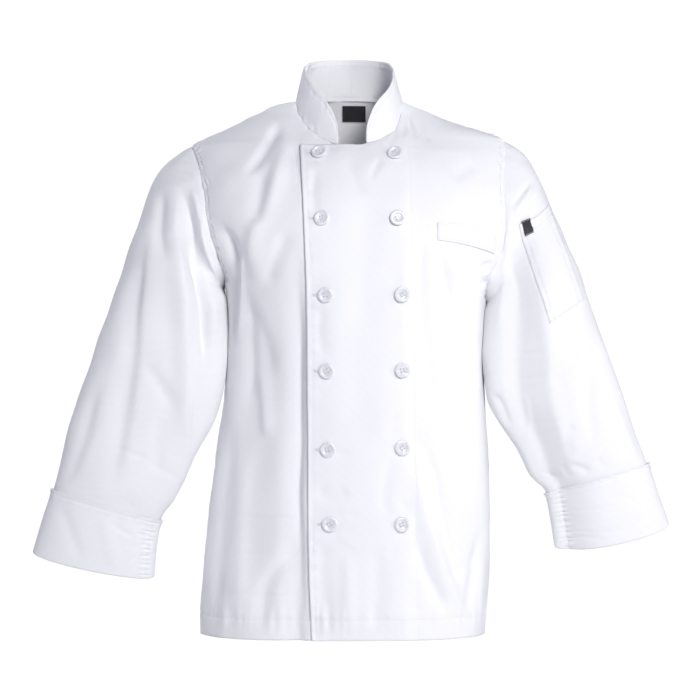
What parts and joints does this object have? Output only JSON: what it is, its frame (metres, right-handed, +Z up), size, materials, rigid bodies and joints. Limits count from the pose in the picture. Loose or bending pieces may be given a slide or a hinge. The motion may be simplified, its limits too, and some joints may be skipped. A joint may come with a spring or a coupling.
{
  "type": "chef jacket",
  "caption": "White double-breasted cotton chef jacket with a stand collar, turned-back cuffs, a breast pocket and a sleeve pocket, filled out as when worn.",
  "frame": {"origin": "middle of the neck, level with the neck ends of the two shoulder seams, where the wearer's neck and shoulders hold the jacket", "axes": "+Z up, towards the collar; the front faces -Y; +X towards the wearer's left sleeve"},
  "size_m": [0.9132, 0.3076, 0.8349],
  "materials": {
    "white_twill": "matt white cotton twill",
    "button_plastic": "pearly white, polished",
    "label_black": "black woven label, bare"
  },
  "bodies": {
    "root": {"front_left": "white_twill", "front_right": "white_twill", "back": "white_twill", "collar": "white_twill", "sleeve_left": "white_twill", "sleeve_right": "white_twill", "cuff_left": "white_twill", "cuff_right": "white_twill", "chest_pocket_welt": "white_twill", "sleeve_pocket": "white_twill", "button_right_1": "button_plastic", "button_right_2": "button_plastic", "button_right_3": "button_plastic", "button_right_4": "button_plastic", "button_right_5": "button_plastic", "button_right_6": "button_plastic", "button_left_1": "button_plastic", "button_left_2": "button_plastic", "button_left_3": "button_plastic", "button_left_4": "button_plastic", "button_left_5": "button_plastic", "button_left_6": "button_plastic", "neck_label": "label_black", "sleeve_label": "label_black"}
  },
  "joints": []
}
